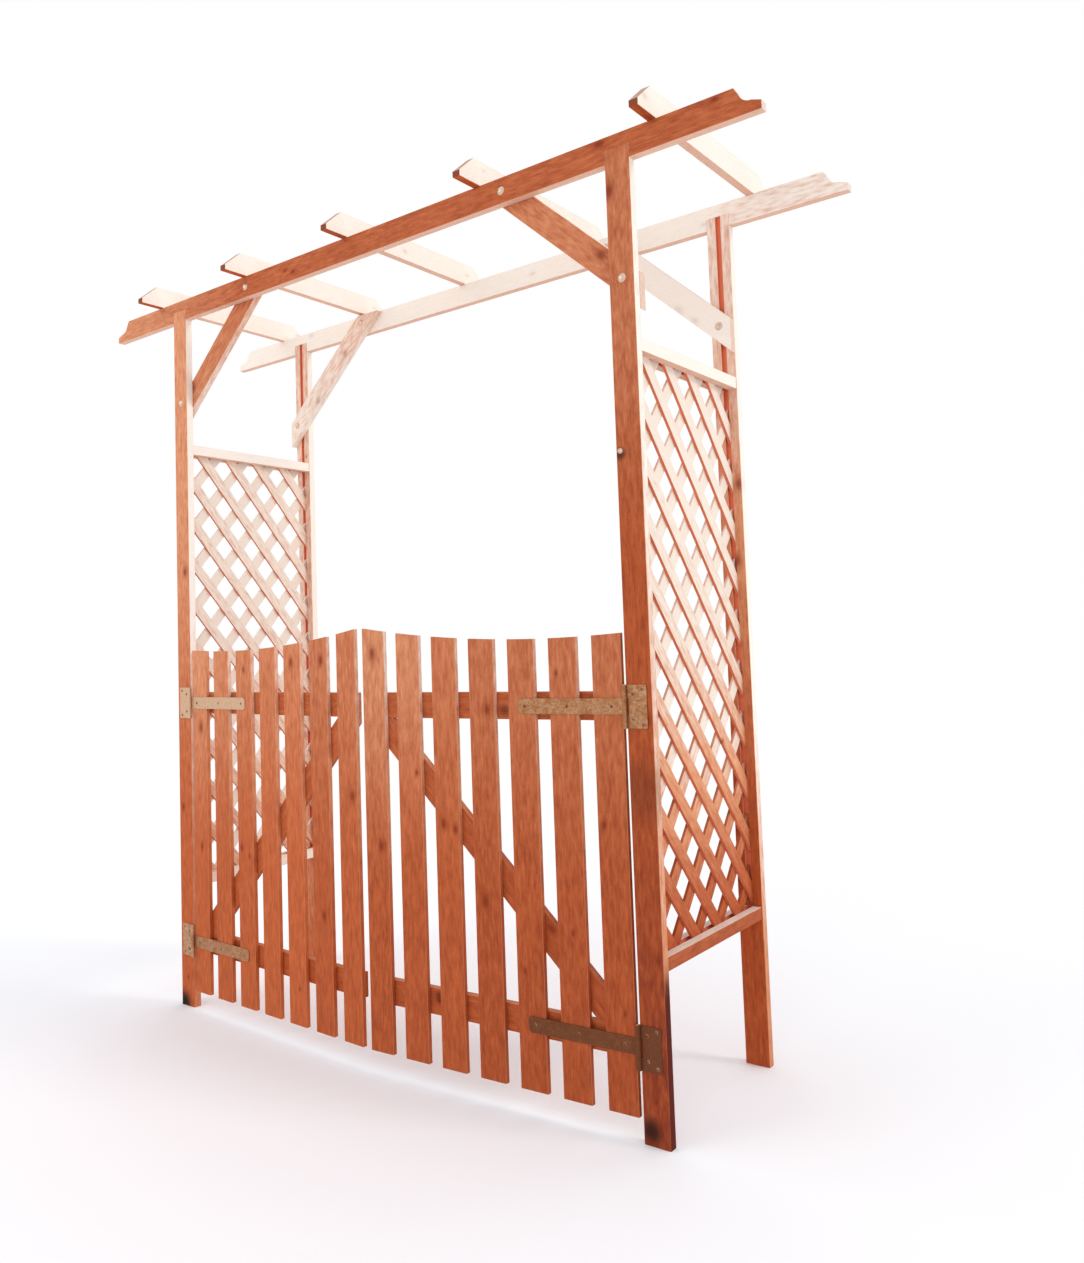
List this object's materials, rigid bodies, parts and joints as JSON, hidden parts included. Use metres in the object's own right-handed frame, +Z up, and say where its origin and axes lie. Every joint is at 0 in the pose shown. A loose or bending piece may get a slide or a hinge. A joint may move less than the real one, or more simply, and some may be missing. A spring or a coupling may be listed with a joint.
{
  "type": "garden arch with gate",
  "caption": "Wooden garden arch with trellis sides, laid-on rafters, corner braces and a double picket gate hung on tee hinges.",
  "frame": {"origin": "on the ground under the middle of the arch", "axes": "+X along the arch's width to the viewer's right, +Y from the gate side to the rear, +Z up"},
  "size_m": [2.19, 0.62, 2.11],
  "materials": {
    "frame_wood": "planed softwood with a thin orange-brown stain, matt",
    "gate_wood": "planed softwood with a thin orange-brown stain, matt, with knots",
    "trellis_wood": "sawn and planed softwood laths with a thin orange-brown stain",
    "hinge_steel": "dull yellow-passivated zinc on steel, dusty",
    "galvanised_fixings": "zinc-plated steel, dull"
  },
  "bodies": {
    "root": {"bolt_nuts": "galvanised_fixings", "bolt_washers": "galvanised_fixings", "carriage_bolts": "galvanised_fixings", "frame_screws": "galvanised_fixings", "front_beam": "frame_wood", "hinge_pins": "hinge_steel", "hinge_plate_screws": "hinge_steel", "left_front_brace": "frame_wood", "left_front_post": "frame_wood", "left_lower_hinge_plate": "hinge_steel", "left_rear_brace": "frame_wood", "left_rear_post": "frame_wood", "left_trellis_bottom_rail": "trellis_wood", "left_trellis_falling_laths": "trellis_wood", "left_trellis_rising_laths": "trellis_wood", "left_trellis_top_rail": "trellis_wood", "left_upper_hinge_plate": "hinge_steel", "post_screw": "galvanised_fixings", "rafter_1": "frame_wood", "rafter_2": "frame_wood", "rafter_3": "frame_wood", "rafter_4": "frame_wood", "rafter_5": "frame_wood", "rear_beam": "frame_wood", "right_front_brace": "frame_wood", "right_front_post": "frame_wood", "right_lower_hinge_plate": "hinge_steel", "right_rear_brace": "frame_wood", "right_rear_post": "frame_wood", "right_trellis_bottom_rail": "trellis_wood", "right_trellis_falling_laths": "trellis_wood", "right_trellis_rising_laths": "trellis_wood", "right_trellis_top_rail": "trellis_wood", "right_upper_hinge_plate": "hinge_steel"},
    "left_leaf": {"left_diagonal": "gate_wood", "left_leaf_screws": "hinge_steel", "left_lower_hinge_strap": "hinge_steel", "left_lower_rail": "gate_wood", "left_picket_1": "gate_wood", "left_picket_2": "gate_wood", "left_picket_3": "gate_wood", "left_picket_4": "gate_wood", "left_picket_5": "gate_wood", "left_picket_6": "gate_wood", "left_picket_7": "gate_wood", "left_upper_hinge_strap": "hinge_steel", "left_upper_rail": "gate_wood"},
    "right_leaf": {"right_diagonal": "gate_wood", "right_leaf_screws": "hinge_steel", "right_lower_hinge_strap": "hinge_steel", "right_lower_rail": "gate_wood", "right_picket_1": "gate_wood", "right_picket_2": "gate_wood", "right_picket_3": "gate_wood", "right_picket_4": "gate_wood", "right_picket_5": "gate_wood", "right_picket_6": "gate_wood", "right_picket_7": "gate_wood", "right_upper_hinge_strap": "hinge_steel", "right_upper_rail": "gate_wood"}
  },
  "joints": [
    {"name": "left_leaf_hinges", "type": "hinge", "parent": "root", "child": "left_leaf", "pos_m": [-0.738, -0.24575, 0.5235], "axis": [0, 0, -1], "range_deg": [-23, 167]},
    {"name": "right_leaf_hinges", "type": "hinge", "parent": "root", "child": "right_leaf", "pos_m": [0.738, -0.24575, 0.5235], "axis": [0, 0, 1], "range_deg": [-23, 167]}
  ]
}
